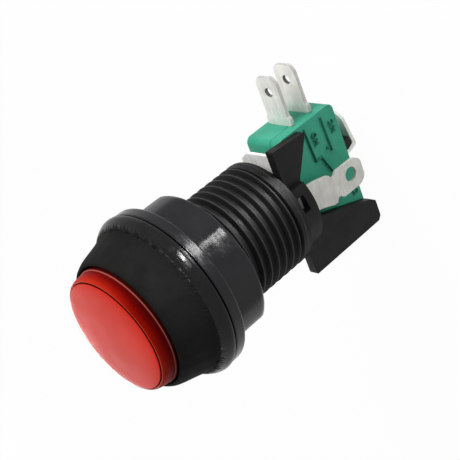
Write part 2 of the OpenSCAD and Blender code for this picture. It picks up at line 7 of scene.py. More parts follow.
import bmesh
import bpy
import numpy as np
from mathutils import Matrix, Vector
from mathutils.geometry import tessellate_polygon


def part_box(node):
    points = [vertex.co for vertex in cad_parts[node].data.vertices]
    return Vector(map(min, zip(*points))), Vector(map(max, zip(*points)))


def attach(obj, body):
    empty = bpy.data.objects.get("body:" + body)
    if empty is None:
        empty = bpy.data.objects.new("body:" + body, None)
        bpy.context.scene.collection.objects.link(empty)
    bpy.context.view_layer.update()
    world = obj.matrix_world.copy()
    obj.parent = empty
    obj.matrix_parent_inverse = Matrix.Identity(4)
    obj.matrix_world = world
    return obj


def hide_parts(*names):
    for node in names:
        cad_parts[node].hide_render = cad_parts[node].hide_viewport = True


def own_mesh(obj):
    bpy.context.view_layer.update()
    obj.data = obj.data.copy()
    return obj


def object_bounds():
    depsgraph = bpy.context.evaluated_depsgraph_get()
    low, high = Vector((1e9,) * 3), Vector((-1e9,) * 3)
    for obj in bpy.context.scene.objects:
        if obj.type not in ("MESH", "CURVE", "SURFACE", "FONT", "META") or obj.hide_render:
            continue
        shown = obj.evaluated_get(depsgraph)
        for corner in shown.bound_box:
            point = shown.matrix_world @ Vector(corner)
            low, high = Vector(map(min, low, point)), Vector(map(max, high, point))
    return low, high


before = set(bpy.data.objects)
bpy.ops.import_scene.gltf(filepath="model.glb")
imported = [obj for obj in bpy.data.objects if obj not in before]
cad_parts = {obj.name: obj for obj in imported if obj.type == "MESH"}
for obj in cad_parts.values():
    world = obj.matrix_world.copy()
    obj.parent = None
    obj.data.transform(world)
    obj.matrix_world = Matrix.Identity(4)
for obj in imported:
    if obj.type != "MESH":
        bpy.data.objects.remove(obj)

CAD_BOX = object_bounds()

bl_info = {
    "name": "Illuminated Pushbutton",
    "version": (1, 0, 0),
    "blender": (4, 5, 0),
    "location": "3D View > Sidebar > Pushbutton",
    "description": "Builds the visible surfaces and finishes of a lit pushbutton",
    "category": "Add Mesh",
}

MM = 0.001
TAU = 2 * math.pi


# --- frame sizes

def node_box(node):
    """Lowest and highest corner of a CAD node in millimetres."""
    low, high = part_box(node)
    return np.array(low) / MM, np.array(high) / MM


BEZEL_LOW, BEZEL_HIGH = node_box("housing")
NUT_LOW, NUT_HIGH = node_box("panel_nut")
CAP_LOW, CAP_HIGH = node_box("cap_lens")
CASE_HIGH = node_box("switch_case")[1]
COVER_LOW, COVER_HIGH = node_box("switch_cover")


# --- mesh functions

CURVE_REACH = 0.49
RIPPLE_WAVES = 24
OUTER_CUT = 0.45
BEVEL_ANGLE = 30.0


def round_path(points, radii, steps, closed=True):
    """Polyline whose corners are replaced by quadratic curves. Each curve
    leaves one edge and joins the next at the corner's radius, or at just under
    half the shorter edge where that is less."""
    p = np.asarray(points, float)
    n = len(p)
    t = np.linspace(0, 1, steps + 1)[:, None]
    out = []
    for i in range(n):
        if not closed and i in (0, n - 1):
            out.append(p[i][None, :])
            continue
        a, b, c = p[i - 1], p[i], p[(i + 1) % n]
        la, lc = np.linalg.norm(a - b), np.linalg.norm(c - b)
        d = min(radii[i], CURVE_REACH * la, CURVE_REACH * lc)
        if d < 1e-6:
            out.append(b[None, :])
            continue
        s = b + (a - b) / la * d
        e = b + (c - b) / lc * d
        out.append((1 - t) ** 2 * s + 2 * t * (1 - t) * b + t ** 2 * e)
    return np.concatenate(out)


def refine(points, step, closed=True):
    """Polyline with extra points, so that no edge is longer than step."""
    p = np.asarray(points, float)
    q = np.roll(p, -1, axis=0) if closed else p[1:]
    out = []
    for a, b in zip(p, q):
        k = max(1, int(math.ceil(np.linalg.norm(b - a) / step)))
        out.append(a + (b - a) * (np.arange(k) / k)[:, None])
    if not closed:
        out.append(p[-1][None, :])
    return np.concatenate(out)


def grid_faces(rows, cols, wrap_rows=False, wrap_cols=True):
    """Four-sided faces between neighbouring points of a rows by cols grid."""
    i, j = np.meshgrid(np.arange(rows if wrap_rows else rows - 1),
                       np.arange(cols if wrap_cols else cols - 1), indexing="ij")
    i2, j2 = (i + 1) % rows, (j + 1) % cols
    return np.stack([i * cols + j, i * cols + j2, i2 * cols + j2, i2 * cols + j],
                    -1).reshape(-1, 4).tolist()


def angles(count):
    """Equal steps round a full turn, from 0."""
    return np.arange(count) / count * TAU


def eased(x):
    """0 below 0, 1 above 1, and three x squared less two x cubed between."""
    x = np.clip(x, 0, 1)
    return x * x * (3 - 2 * x)


def ripple(theta, seed, low, high):
    """Smooth irregular ring signal of about unit size: a sum of sines whose
    whole-number frequencies and phases come from a seeded draw."""
    rng = np.random.default_rng(seed)
    freq = rng.integers(low, high, RIPPLE_WAVES)
    phase = rng.uniform(0, TAU, RIPPLE_WAVES)
    size = rng.uniform(0.4, 1.0, RIPPLE_WAVES)
    wave = np.sin(np.multiply.outer(theta, freq) + phase) * size
    return wave.sum(-1) / math.sqrt(0.5 * (size ** 2).sum())


def mesh_piece(name, points, faces, body, nodes, material, sharp=35.0,
               shares=None):
    """Object from points in millimetres. Doubles are merged, normals are
    turned outwards and edges steeper than the sharp angle stay crisp. Each
    item of shares is kept as one number for every point."""
    mesh = bpy.data.meshes.new(name)
    mesh.from_pydata((points * MM).tolist(), [], faces)
    for key, values in (shares or {}).items():
        layer = mesh.attributes.new(key, "FLOAT", "POINT")
        layer.data.foreach_set("value", np.asarray(values, np.float32).ravel())
    bm = bmesh.new()
    bm.from_mesh(mesh)
    bmesh.ops.remove_doubles(bm, verts=bm.verts, dist=1e-7)
    bmesh.ops.recalc_face_normals(bm, faces=bm.faces)
    bm.to_mesh(mesh)
    bm.free()
    return finish_piece(name, mesh, body, nodes, material, sharp)


def finish_piece(name, mesh, body, nodes, material, sharp):
    """Shades a mesh smooth up to the sharp angle, and ties its object to its
    body, its CAD nodes and its material."""
    mesh.polygons.foreach_set("use_smooth", [True] * len(mesh.polygons))
    mesh.set_sharp_from_angle(angle=math.radians(sharp))
    obj = bpy.data.objects.new(name, mesh)
    bpy.context.scene.collection.objects.link(obj)
    mesh.materials.clear()
    mesh.materials.append(material)
    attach(obj, body)
    if nodes:
        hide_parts(*nodes)
    return obj


def turned(profile, turns, radius=None):
    """Closed half profile (radius, height) carried round Z, as points and
    faces. The point at angle a is (r cos a, r sin a, z), where radius(a, r, z)
    may change r."""
    a = angles(turns)
    r = np.repeat(profile[:, :1], turns, axis=1)
    z = np.repeat(profile[:, 1:], turns, axis=1)
    if radius:
        r = radius(a, r, z)
    points = np.stack([r * np.cos(a), r * np.sin(a), z], -1)
    return points.reshape(-1, 3), grid_faces(*r.shape, wrap_rows=True)


def inset(loop, distance):
    """Closed plane loop moved inwards by a distance, along the mitre of the
    two edges that meet at each point. The loop runs anticlockwise."""
    d = np.roll(loop, -1, axis=0) - loop
    n = np.stack([d[:, 1], -d[:, 0]], -1)
    n /= np.linalg.norm(n, axis=1, keepdims=True)
    m = np.roll(n, 1, axis=0)
    mitre = (n + m) / np.maximum(1 + (n * m).sum(1, keepdims=True), 0.4)
    return loop - mitre * distance


def ring(centre, radius, count):
    """Points of a circle in the plane, anticlockwise."""
    a = angles(count)
    return np.asarray(centre) + radius * np.stack([np.cos(a), np.sin(a)], -1)


def plate(outline, holes, low, high, edge):
    """Flat plate (u, v, w). Its outline and holes are carried from w = low to
    w = high through a quarter-round of radius edge at both faces, and the two
    faces are filled with triangles. The third result is 0 on the faces,
    OUTER_CUT on the outer edge and 1 in the holes."""
    a = np.linspace(0, math.pi / 2, 4)
    back, rise = edge * (1 - np.sin(a)), edge * (1 - np.cos(a))
    levels = ([(b, low + r) for b, r in zip(back, rise)]
              + [(b, high - r) for b, r in zip(back[::-1], rise[::-1])])
    points, faces, shares, first, last, start = [], [], [], [], [], 0
    for k, loop in enumerate([outline, *holes]):
        n = len(loop)
        sign = 1 if k == 0 else -1
        rings = [np.column_stack([inset(loop, sign * b), np.full(n, w)])
                 for b, w in levels]
        points += rings
        faces += (np.array(grid_faces(len(levels), n)) + start).tolist()
        cut = np.full(len(levels), OUTER_CUT if k == 0 else 1.0)
        cut[[0, -1]] = 0.0
        shares.append(np.repeat(cut, n))
        first.append((rings[0], start))
        last.append((rings[-1], start + (len(levels) - 1) * n))
        start += n * len(levels)
    for group in (first, last):
        index = np.concatenate([np.arange(len(r)) + s for r, s in group])
        tris = tessellate_polygon([r.tolist() for r, s in group])
        faces += index[np.array(tris)].tolist()
    return np.concatenate(points), faces, np.concatenate(shares)


def ridge(path, half, height, closed=False):
    """Raised stroke along a plane path (u, v), as points (u, v, w) and faces.
    Its section is a flat-topped mound, set across the path on the mitre of the
    two edges that meet at each point, and its foot lies 0.1 mm under the
    surface."""
    p = np.asarray(path, float)
    d = np.roll(p, -1, axis=0) - p
    d /= np.maximum(np.linalg.norm(d, axis=1, keepdims=True), 1e-9)
    before = np.roll(d, 1, axis=0)
    if not closed:
        d[-1], before[0] = d[-2], d[0]
    m = np.stack([-(d + before)[:, 1], (d + before)[:, 0]], -1)
    m /= np.maximum(1 + (d * before).sum(1, keepdims=True), 0.5)
    across = half * np.array([-1, -1, -0.72, -0.4, 0.4, 0.72, 1, 1])
    up = np.array([-0.1, 0, 0.8 * height, height, height, 0.8 * height, 0, -0.1])
    flat = p[:, None, :] + m[:, None, :] * across[None, :, None]
    points = np.dstack([flat, np.broadcast_to(up, flat.shape[:2])])
    n, k = flat.shape[:2]
    faces = grid_faces(n, k, wrap_rows=closed)
    if not closed:
        faces += [list(range(k)), list(range(k * n - 1, k * (n - 1) - 1, -1))]
    return points.reshape(-1, 3), faces


def joined(parts):
    """One set of points and faces from several."""
    points, faces, start = [], [], 0
    for p, f in parts:
        points.append(p)
        faces += [[i + start for i in face] for face in f]
        start += len(p)
    return np.concatenate(points), faces


def softened(node, name, width, material, mend=None, shape=None):
    """Copy of a CAD node on the base whose sharp edges are rounded to a width.
    Its triangles are merged and its flat faces joined before the bevel. A
    function given as mend changes the mesh before its flat faces are joined,
    and one given as shape changes it after."""
    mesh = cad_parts[node].data.copy()
    mesh.name = name
    bm = bmesh.new()
    bm.from_mesh(mesh)
    bmesh.ops.remove_doubles(bm, verts=bm.verts, dist=2e-6)
    if mend:
        mend(bm)
    bmesh.ops.dissolve_limit(bm, angle_limit=math.radians(1.0), verts=bm.verts,
                             edges=bm.edges)
    if shape:
        shape(bm)
    for edge in bm.edges:
        edge.smooth = True
    bm.to_mesh(mesh)
    bm.free()
    for key in ("custom_normal", "sharp_face", "sharp_edge"):
        if key in mesh.attributes:
            mesh.attributes.remove(mesh.attributes[key])
    obj = finish_piece(name, mesh, "base", (node,), material, BEVEL_ANGLE)
    bevel = obj.modifiers.new("edge rounding", "BEVEL")
    bevel.width = width * MM
    bevel.segments = 2
    bevel.limit_method = "ANGLE"
    bevel.angle_limit = math.radians(BEVEL_ANGLE)
    bevel.harden_normals = True
    return obj


# --- materials

class Nodes:
    """Short calls on one node tree. Each adds a node, joins its inputs and
    gives back its output. An input is another node's output or a plain value."""

    def __init__(self, owner):
        owner.use_nodes = True
        self.nodes, self.links = owner.node_tree.nodes, owner.node_tree.links

    def join(self, value, socket):
        """Links an output to a socket, or sets a plain value on it."""
        if isinstance(value, bpy.types.NodeSocket):
            self.links.new(value, socket)
        elif socket.type == "RGBA":
            socket.default_value = (*value[:3], 1.0)
        else:
            socket.default_value = value

    def add(self, kind, output, inputs=(), **settings):
        """Any node, with its settings and the values of its inputs."""
        node = self.nodes.new("ShaderNode" + kind)
        for key, value in settings.items():
            setattr(node, key, value)
        for key, value in dict(inputs).items():
            self.join(value, node.inputs[key])
        return node.outputs[output]

    def maths(self, kind, a, b=0.0):
        """Sum, product, larger value or the like of two numbers."""
        return self.add("Math", "Value", {0: a, 1: b}, operation=kind)

    def shifted(self, value, by, amount):
        """A value plus an amount of another."""
        return self.maths("ADD", value, self.maths("MULTIPLY", by, amount))

    def mean(self, a, b):
        """Half the sum of two values."""
        return self.maths("MULTIPLY", self.maths("ADD", a, b), 0.5)

    def spread(self, value, low, high, start=0.3, end=0.7):
        """Maps a value from start to end to a number from low to high."""
        return self.add("MapRange", "Result", {
            "Value": value, "From Min": start, "From Max": end,
            "To Min": low, "To Max": high})

    def rise(self, value, start, end):
        """0 below start, and 1 above end."""
        return self.spread(value, 0.0, 1.0, start, end)

    def blend(self, fac, a, b, kind="RGBA"):
        """Mix of two colours, or of two numbers with the kind FLOAT."""
        first, output = (6, 2) if kind == "RGBA" else (2, 0)
        return self.add("Mix", output, {0: fac, first: a, first + 1: b},
                        data_type=kind)

    def seen_ray(self):
        """1 for the rays that see the surroundings: from the camera, from gloss
        and through clear plastic or glass."""
        path = self.nodes.new("ShaderNodeLightPath").outputs
        gloss = self.maths("MAXIMUM", path["Is Glossy Ray"],
                           path["Is Transmission Ray"])
        return self.maths("MAXIMUM", path["Is Camera Ray"], gloss)


class Finish(Nodes):
    """A material in the making, with its Principled shader and the object's
    coordinates."""

    def __init__(self, name):
        self.material = bpy.data.materials.new(name)
        super().__init__(self.material)
        self.shader = self.nodes["Principled BSDF"]
        self.at = self.add("TexCoord", "Object")

    def surface(self, colour, rough, specular=0.5, metallic=0.0, clear=0.0):
        """Joins the shader's own sockets, and gives back the material."""
        for key, value in (("Base Color", colour), ("Roughness", rough),
                           ("Specular IOR Level", specular),
                           ("Metallic", metallic), ("Transmission Weight", clear)):
            self.join(value, self.shader.inputs[key])
        return self.material

    def bump(self, height, depth, last=None):
        """Bump of a height from 0 to 1 whose full depth is in millimetres, on
        top of an earlier one."""
        under = {"Normal": last} if last else {}
        normal = self.add("Bump", "Normal", {"Distance": depth * MM,
                                             "Height": height, **under})
        self.join(normal, self.shader.inputs["Normal"])
        return normal

    def noise(self, scale, detail=3.0, rough=0.55, stretch=None):
        """Noise with a scale in features per metre, stretched along the axes."""
        at = self.at
        if stretch:
            at = self.add("Mapping", "Vector", {"Vector": at, "Scale": stretch})
        return self.add("TexNoise", "Fac", {"Vector": at, "Scale": scale,
                                            "Detail": detail, "Roughness": rough})

    def ramp(self, value, stops):
        """Colour ramp over a value, with stops of (place, colour)."""
        node = self.nodes.new("ShaderNodeValToRGB")
        band = node.color_ramp.elements
        while len(band) < len(stops):
            band.new(0.5)
        for item, (place, colour) in zip(band, stops):
            item.position = place
            item.color = (*colour[:3], 1.0)
        self.join(value, node.inputs["Fac"])
        return node.outputs["Color"]

    def cloudy(self, colour, amount, scale, detail=4.0, rough=0.6, last=0.72):
        """Clouds of a colour's darker, own and lighter shade."""
        places = (0.3, 0.5, last)
        return self.ramp(self.noise(scale, detail, rough),
                         list(zip(places, tones(colour, amount))))

    def share(self, key):
        """The number kept on the mesh under a name."""
        return self.add("Attribute", "Fac", attribute_name=key)

    def height(self):
        """Height along the button's axis."""
        return self.add("SeparateXYZ", "Z", {"Vector": self.at})

    def axis_distance(self):
        """Distance from the button's axis."""
        flat = self.add("VectorMath", "Vector", {0: self.at, 1: (1.0, 1.0, 0.0)},
                        operation="MULTIPLY")
        return self.add("VectorMath", "Value", {0: flat}, operation="LENGTH")


def tones(colour, amount):
    """Darker, own and lighter shade of a colour."""
    c = np.array(colour[:3])
    return c * (1 - amount), c, np.minimum(c * (1 + amount), 1.0)


def moulded(name, colour, rough, vary=0.15, specular=0.2, grain=(900.0, 0.02),
            patches=120.0):
    """Moulded plastic: cloudy colour, uneven gloss and a fine grain."""
    m = Finish(name)
    m.bump(m.noise(grain[0], 2.0), grain[1])
    return m.surface(m.cloudy(colour, vary, patches),
                     m.spread(m.noise(patches * 3.1), *rough), specular)


def tinned(name, colour, metallic=0.25):
    """Tinned sheet: drawn streaks, dull patches, a fine orange peel and darker cut
    edges, darkest in the holes, where the dark is painted shade."""
    m = Finish(name)
    dark, own, light = tones(colour, 0.12)
    streak = m.noise(1500.0, 3.0, 0.6, (1.0, 0.12, 1.0))
    cloud = m.noise(420.0, 4.0, 0.6)
    mixed = m.mean(streak, cloud)
    face = m.ramp(mixed, [(0.36, dark), (0.5, own), (0.62, light)])
    # darker metal on cut edges, and painted shade in the holes, where the share is 1
    cut = m.ramp(streak, [(0.35, dark * 0.1), (0.65, own * 0.22)])
    m.bump(mixed, 0.03)
    return m.surface(m.blend(m.share("cut_edge_and_hole_shade"), face, cut),
                     m.spread(cloud, 0.38, 0.54), 0.3, metallic)


# --- user values

class PushbuttonLook(bpy.types.PropertyGroup):
    """Sizes and colours that a user may change before the pieces are built."""
    cap_colour: bpy.props.FloatVectorProperty(
        name="Cap colour", description="Colour of the translucent cap",
        subtype="COLOR", size=3, min=0, max=1, default=(0.78, 0.031, 0.015))
    bezel_colour: bpy.props.FloatVectorProperty(
        name="Bezel colour", description="Colour of the textured bezel",
        subtype="COLOR", size=3, min=0, max=1, default=(0.0062, 0.0064, 0.0058))
    nut_colour: bpy.props.FloatVectorProperty(
        name="Nut colour", description="Colour of the glossy panel nut",
        subtype="COLOR", size=3, min=0, max=1, default=(0.007, 0.007, 0.0088))
    switch_colour: bpy.props.FloatVectorProperty(
        name="Switch colour", description="Colour of the snap switch's case",
        subtype="COLOR", size=3, min=0, max=1, default=(0.042, 0.33, 0.215))
    metal_colour: bpy.props.FloatVectorProperty(
        name="Terminal colour", description="Colour of the tinned terminals",
        subtype="COLOR", size=3, min=0, max=1, default=(0.86, 0.85, 0.81))
    line_depth: bpy.props.FloatProperty(
        name="Mould line depth", description="Depth of the ragged mould line "
        "between the bezel's smooth band and its textured cone",
        unit="LENGTH", precision=5, min=0, max=0.0005, default=0.00038)
    thread_depth: bpy.props.FloatProperty(
        name="Thread depth", description="Depth of the barrel's thread",
        unit="LENGTH", precision=5, min=0.0003, max=0.0012, default=0.00095)
    mark_height: bpy.props.FloatProperty(
        name="Mark height", description="Height of the raised marks on the cover",
        unit="LENGTH", precision=5, min=0.00005, max=0.0005, default=0.00042)
    edge_round: bpy.props.FloatProperty(
        name="Edge rounding", description="Radius on the edges of moulded pieces",
        unit="LENGTH", precision=5, min=0.00005, max=0.0006, default=0.00028)


def look():
    """The user's values of the open scene."""
    return bpy.context.scene.pushbutton_look


# --- bezel

BAND_TOP = 2.6
LINE_HEIGHT = BAND_TOP + 0.1
LINE_WANDER = 0.12
LINE_HALF = 0.3
LINE_STEP = 0.06
NICK_DEPTH = 0.2
CONE_WAVE = 0.012
# black of the mould line's cut: painted shade in the groove
LINE_SHADE_BLACK = (0.0012,) * 3
OPENING_R = 13.45
WALL_R = OPENING_R + 0.4
BORE_R = 9.78
BEZEL_TURNS = 720
CONE_TOP = 9.5
CONE_IN = np.array([
    [0.0, 0.12], [0.5, 0.02], [1.0, 0.14], [1.5, 0.38], [2.0, 0.74],
    [2.5, 1.13], [3.0, 1.46], [3.5, 1.76], [4.0, 1.99], [5.0, 2.29],
    [6.0, 2.55], [7.0, 2.8], [8.0, 3.05], [9.0, 3.35], [CONE_TOP, 3.55]])


def bezel_profile():
    """Closed half profile of the bezel: up the outside from the seating face,
    where CONE_IN gives how far in it lies at each height, over the front edge,
    down the opening and back under the pocket's floor."""
    top, out = BEZEL_HIGH[2], BEZEL_HIGH[0]
    z = np.concatenate([np.linspace(0.0, 2.1, 14), np.arange(2.2, 3.35, 0.06),
                        np.linspace(3.45, CONE_TOP, 30)])
    r = out - np.interp(z, CONE_IN[:, 0], CONE_IN[:, 1])
    kernel = np.array([1, 2, 3, 2, 1]) / 9.0
    smooth = np.convolve(np.pad(r, 2, mode="edge"), kernel, "valid")
    r[3:-3] = smooth[3:-3]
    side = np.column_stack([r, z])
    foot = [out - 0.22, 0.0]
    side[0] = foot
    side = np.insert(side, 1, [out - 0.06, 0.1], axis=0)
    front = round_path([[r[-1], CONE_TOP], [14.32, top - 0.45], [14.02, top],
                        [OPENING_R + 0.12, top], [OPENING_R, top - 0.2]],
                       [0, 0.5, 0.4, 0.1, 0], 4, closed=False)[1:]
    inner = refine([[OPENING_R, top - 0.2], [OPENING_R, BAND_TOP],
                    [BORE_R, BAND_TOP], [BORE_R, 0.0], foot], 1.6,
                   closed=False)[1:-1]
    return np.concatenate([side, front, inner])


def mould_line(a, z):
    """Height of the mould line at angle a, a ripple about LINE_HEIGHT, and its
    cut at height z. The cut is a bell curve across the line times a rippled
    strength, which is weak near the X axis."""
    line = LINE_HEIGHT + LINE_WANDER * ripple(a, 3, 30, 170)
    cut = np.exp(-((z - line) / LINE_HALF) ** 2)
    ragged = np.interp(np.degrees(a) % 360, [0, 38, 60, 300, 340],
                       [0.3, 0.3, 1, 1, 0.3])
    strong = ragged * np.clip(0.95 + 0.4 * ripple(a, 5, 4, 60), 0.15, 1.4)
    return line, cut * strong


def worn_bezel(a, r, z):
    """Radius of the bezel. Its outside loses the mould line's cut and, across
    the line, a small logistic step. It gains nicks just above the line, where a
    ripple peaks, and a slow wave on the cone."""
    outside = (r > WALL_R) & (z > 0.3)
    line, cut = mould_line(a, z)
    step = LINE_STEP * (1 / (1 + np.exp(-(z - line) / 0.05)) - 0.5)
    nicks = np.clip(ripple(a, 8, 60, 300) - 1.9, 0, 1) * np.exp(
        -((z - line - 0.25) / 0.2) ** 2)
    wave = CONE_WAVE * ripple(a, 11, 5, 40)
    depth = look().line_depth / MM
    r = r - outside * (depth * cut + step - NICK_DEPTH * nicks)
    return r + outside * wave * (z > BAND_TOP)


class PUSHBUTTON_OT_bezel(bpy.types.Operator):
    """Build the bezel with its smooth band, ragged mould line and grain"""
    bl_idname = "pushbutton.bezel"
    bl_label = "Bezel"

    def execute(self, context):
        profile = bezel_profile()
        points, faces = turned(profile, BEZEL_TURNS, worn_bezel)
        cut = mould_line(angles(BEZEL_TURNS), profile[:, 1:])[1]
        cut = cut * (profile[:, :1] > WALL_R)
        mesh = mesh_piece("bezel_shell", points, faces, "base", ("housing",),
                          bezel_finish("textured charcoal plastic", 0.07),
                          40, {"mould_line": cut}).data
        mesh.materials.append(bezel_finish("polished charcoal band", 0.17))
        middles = np.empty(len(mesh.polygons) * 3, np.float32)
        mesh.polygons.foreach_get("center", middles)
        band = middles.reshape(-1, 3)[:, 2] < LINE_HEIGHT * MM
        mesh.polygons.foreach_set("material_index", band.astype(np.int32))
        return {"FINISHED"}


def bezel_finish(name, specular):
    """Charcoal plastic: matte and finely spark-eroded on the cone, polished on the
    band below it, and dull in the mould line's cut, which is also painted black as
    painted shade. Noise roughens the height at which the cone begins."""
    m = Finish(name)
    edge = m.shifted(m.height(), m.noise(700.0), 0.0005)
    cone = m.rise(edge, 0.0029, 0.0031)
    line = m.share("mould_line")
    plain = m.cloudy(look().bezel_colour, 0.35, 160.0, 5.0, 0.62, 0.7)
    gloss = m.spread(m.noise(900.0, 5.0), 0.07, 0.27)
    matte = m.spread(m.noise(420.0), 0.72, 0.85)
    pits = m.maths("ADD", m.noise(2600.0, 2.0, 0.6), m.noise(900.0, 3.0, 0.6))
    grain = m.bump(m.maths("MULTIPLY", pits, cone), 0.04)
    m.bump(m.noise(1500.0, 5.0, 0.7), 0.02, grain)
    dull = m.maths("MAXIMUM", cone, line)
    return m.surface(m.blend(line, plain, LINE_SHADE_BLACK),
                     m.blend(dull, gloss, matte, "FLOAT"), specular)


# --- barrel

THREAD_R = 12.0
THREAD_START = 0.6
PITCH = 2.1
FLANK = 0.34 * PITCH
CREST = 0.12
THREAD_AT = 2.6
THREAD_TURN = 0.5 - 38 / 360
RUN_OUT = 1.2
COLLAR = 2.6
COLLAR_R = THREAD_R - 0.06
# lighter grey of the thread's crests: a painted highlight
CREST_HIGHLIGHT_GREY = (0.042, 0.042, 0.04)


def threaded(a, r, z):
    """Radius of the barrel. Height over the pitch plus the angle's share of a
    turn gives the place on the helix, and the thread rises from its root to
    its crest by the distance from the crest's middle, half straight and half
    eased. It runs out at the front, and a slope leads up to the rear collar."""
    depth = look().thread_depth / MM
    root = THREAD_R - depth
    phase = (z + THREAD_AT) / PITCH + a / TAU + THREAD_TURN
    away = np.abs((phase % 1.0) - 0.5) * PITCH
    tooth = np.clip((FLANK - away) / (FLANK - CREST), 0, 1)
    tooth = eased(tooth) * 0.5 + tooth * 0.5
    cut = root + depth * tooth * np.clip((-0.4 - z) / RUN_OUT, 0, 1)
    slope = np.clip((BEZEL_LOW[2] + COLLAR + 0.1 - z) / 0.4, 0, 1)
    cut = np.maximum(cut, root + (COLLAR_R - root) * slope)
    return np.where(r > BORE_R + 0.5, np.minimum(r, cut), r)


class PUSHBUTTON_OT_barrel(bpy.types.Operator):
    """Build the barrel with its right-handed thread and plain rear collar"""
    bl_idname = "pushbutton.barrel"
    bl_label = "Barrel"

    def execute(self, context):
        rear = BEZEL_LOW[2]
        root = THREAD_R - look().thread_depth / MM
        outer = refine([[THREAD_R, THREAD_START], [THREAD_R, rear + 0.35]], 0.085,
                       False)
        ends = round_path([[THREAD_R, rear + 0.35], [THREAD_R - 0.08, rear],
                           [BORE_R, rear]], [0, 0.3, 0], 4, False)[1:]
        inner = refine([[BORE_R, rear], [BORE_R, THREAD_START],
                        [root, THREAD_START]], 3.0, False)[1:-1]
        points, faces = turned(np.concatenate([outer, ends, inner]), 240, threaded)
        mesh_piece("barrel_thread", points, faces, "base", ("housing",),
                   barrel_finish(), 30)
        return {"FINISHED"}


def barrel_finish():
    """Satin black plastic that is painted lighter on the thread's crests, a painted
    highlight, by distance from the axis."""
    m = Finish("satin black plastic")
    plain = m.cloudy(np.array(look().bezel_colour) * 0.75, 0.3, 200.0)
    mottle = m.noise(500.0, 4.0, 0.65)
    reach = m.shifted(m.axis_distance(), mottle, 0.00006)
    crest = m.rise(reach, 0.01199, 0.01205)
    m.bump(m.noise(1400.0), 0.02)
    return m.surface(m.blend(crest, plain, CREST_HIGHLIGHT_GREY), m.spread(mottle, 0.45, 0.62),
                     0.12)


# --- panel nut

NUT_TURN = math.radians(35.7)
NUT_FLAT = 15.1
NUT_CORNER = 16.05
NUT_BORE = 12.07
NUT_FLANGE = 3.0
NUT_SOFT = 0.12
NUT_STEP = 0.55


def hexed(a, r, z):
    """Radius of the nut. Behind the flange, which it leaves by an eased step,
    it is the soft minimum of the turned profile and of a hexagon: the flat's
    distance over the cosine of the angle from the flat's middle."""
    sector = TAU / 6
    off = (a - NUT_TURN + sector / 2) % sector - sector / 2
    side = NUT_FLAT / np.cos(sector / 2 - np.abs(off))
    hexagon = -NUT_SOFT * np.logaddexp(-side / NUT_SOFT, -r / NUT_SOFT)
    blend = eased((NUT_HIGH[2] - NUT_FLANGE + 0.42 - z) / NUT_STEP)
    return np.where(r > NUT_BORE + 0.6, r + (hexagon - r) * blend, r)


class PUSHBUTTON_OT_nut(bpy.types.Operator):
    """Build the flanged panel nut with rounded corners"""
    bl_idname = "pushbutton.nut"
    bl_label = "Panel nut"

    def execute(self, context):
        front, rear, flange = NUT_HIGH[2], NUT_LOW[2], NUT_HIGH[0]
        outline = [[NUT_BORE, front], [flange, front], [flange, front - 2.4],
                   [NUT_CORNER + 0.05, front - NUT_FLANGE], [NUT_CORNER, rear],
                   [NUT_BORE, rear]]
        profile = refine(round_path(outline, [0.25, 0.35, 0.35, 0.5, 2.2, 0.5], 8),
                         0.35)
        points, faces = turned(profile, 360, hexed)
        mesh_piece("nut_body", points, faces, "nut", ("panel_nut",),
                   nut_finish(), 40)
        return {"FINISHED"}


def nut_finish():
    """Glossy black plastic: fine turned scratches round the axis, faint
    smears and a slight waviness."""
    m = Finish("glossy black plastic")
    hair = m.noise(420.0, 4.0, 0.7, (1.0, 1.0, 9.0))
    both = m.mean(hair, m.noise(300.0, 4.0, 0.6))
    m.bump(both, 0.06)
    return m.surface(m.cloudy(look().nut_colour, 0.35, 130.0),
                     m.spread(both, 0.06, 0.3, 0.38, 0.62), 0.24)


# --- cap

DOME_R = 11.98
RIM_DROP = 0.33
CAP_THICK = 1.35
CAP_INSIDE = 11.85
# distances from the axis at which the groove, corner, wall and foot begin
CAP_STEPS = (0.01191, 0.01209, 0.01233, 0.01292)
CAP_STEP = 0.00005
# the groove's near-black red is painted shade in its recess
CAP_GROOVE_SHADE = (0.05, 0.002, 0.002)
CAP_CORNER = (0.66, 0.07, 0.035)
# the wall's reds darken towards its foot, partly the deeper red of thicker plastic and
# partly painted shade where the wall sits in the bezel
CAP_WALL = ((0.15, (0.07, 0.0005, 0.0005)), (0.45, (0.14, 0.001, 0.0005)),
            (0.72, (0.28, 0.006, 0.002)), (0.95, (0.46, 0.025, 0.01)))
# the bead's pinkish colour is a painted highlight line along the wall's foot
CAP_BEAD_HIGHLIGHT = (0.36, 0.09, 0.07)
# the foot's near-black red is painted shade inside the bezel's opening
CAP_FOOT_SHADE = (0.05, 0.003, 0.002)
# direction towards which, and opposite which, the cap's wall is painted darker as painted
# shade
CAP_SHADE = (0.853, 0.522, 0.0)


class PUSHBUTTON_OT_cap(bpy.types.Operator):
    """Build the translucent cap with its rim, groove and domed face"""
    bl_idname = "pushbutton.cap"
    bl_label = "Cap"

    def execute(self, context):
        low, crown, skirt = CAP_LOW[2], CAP_HIGH[2], CAP_HIGH[0]
        rim = crown - RIM_DROP
        inner = skirt - CAP_THICK
        a = np.linspace(0, math.pi / 2, 24)
        dome = np.column_stack([DOME_R * np.cos(a), rim + (crown - rim) * np.sin(a)])
        wall = round_path([[inner, low], [skirt, low], [skirt, 10.5],
                           [skirt, 10.72], [skirt - 0.16, 10.86],
                           [12.76, rim - 0.95], [12.42, rim - 0.18],
                           [12.14, rim - 0.16], [12.04, rim - 0.5],
                           [DOME_R, rim - 0.45]],
                          [0, 0.2, 0.1, 0.1, 0.1, 0.6, 0.2, 0.06, 0.04, 0], 5, False)
        hollow = [[0.0, CAP_INSIDE], [inner - 0.3, CAP_INSIDE],
                  [inner, CAP_INSIDE - 0.3]]
        points, faces = turned(np.concatenate([wall[:-1], dome, hollow]), 256)
        mesh_piece("cap_shell", points, faces, "button", ("cap_lens",),
                   cap_finish(), 30)
        return {"FINISHED"}


